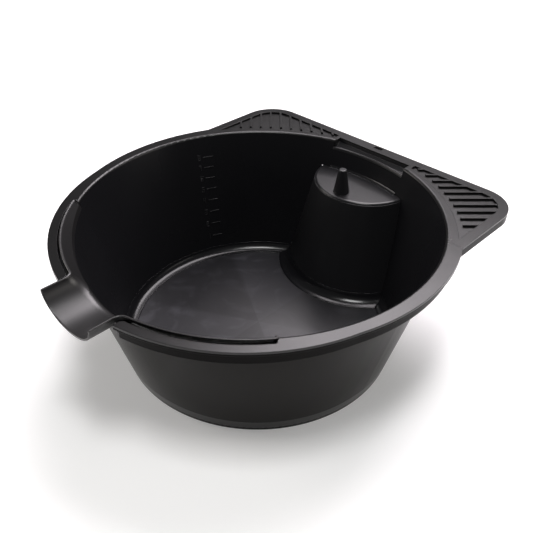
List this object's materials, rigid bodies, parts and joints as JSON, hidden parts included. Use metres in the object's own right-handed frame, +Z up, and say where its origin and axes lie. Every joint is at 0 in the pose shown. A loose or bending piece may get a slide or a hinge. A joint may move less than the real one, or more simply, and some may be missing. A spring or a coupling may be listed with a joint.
{
  "type": "pouring bowl",
  "caption": "Round drafted plastic bowl with a pouring spout, drip gutters, a straight rear edge with ribbed corner trays, a hang slot, and a ledge with a drip spike.",
  "frame": {"origin": "middle of the base, in the plane that the bowl stands on", "axes": "+Z up; +Y towards the straight rear edge with the hang slot; -Y towards the spout; symmetric about the YZ plane apart from the graduations"},
  "size_m": [0.3764, 0.3995, 0.1488],
  "materials": {
    "bowl_plastic": "black moulded plastic with a soft gloss",
    "rim_plastic": "black moulded plastic with a fine satin texture"
  },
  "bodies": {
    "root": {"bowl_wall": "bowl_plastic", "floor_corner": "bowl_plastic", "floor_panel": "bowl_plastic", "foot_ring": "bowl_plastic", "rim_flange": "rim_plastic", "rim_skirt": "bowl_plastic", "stacking_collar": "bowl_plastic", "rear_deck": "rim_plastic", "deck_skirt": "bowl_plastic", "tray_left": "rim_plastic", "tray_right": "rim_plastic", "tray_ribs_left": "rim_plastic", "tray_ribs_right": "rim_plastic", "grip_recess": "bowl_plastic", "grip_lip": "bowl_plastic", "pour_throat": "bowl_plastic", "spout": "bowl_plastic", "gutter_left": "bowl_plastic", "gutter_right": "bowl_plastic", "column_wall": "bowl_plastic", "column_foot": "bowl_plastic", "drip_ledge": "bowl_plastic", "drip_spike": "bowl_plastic", "graduation_lines": "bowl_plastic", "graduation_numerals": "bowl_plastic"}
  },
  "joints": []
}
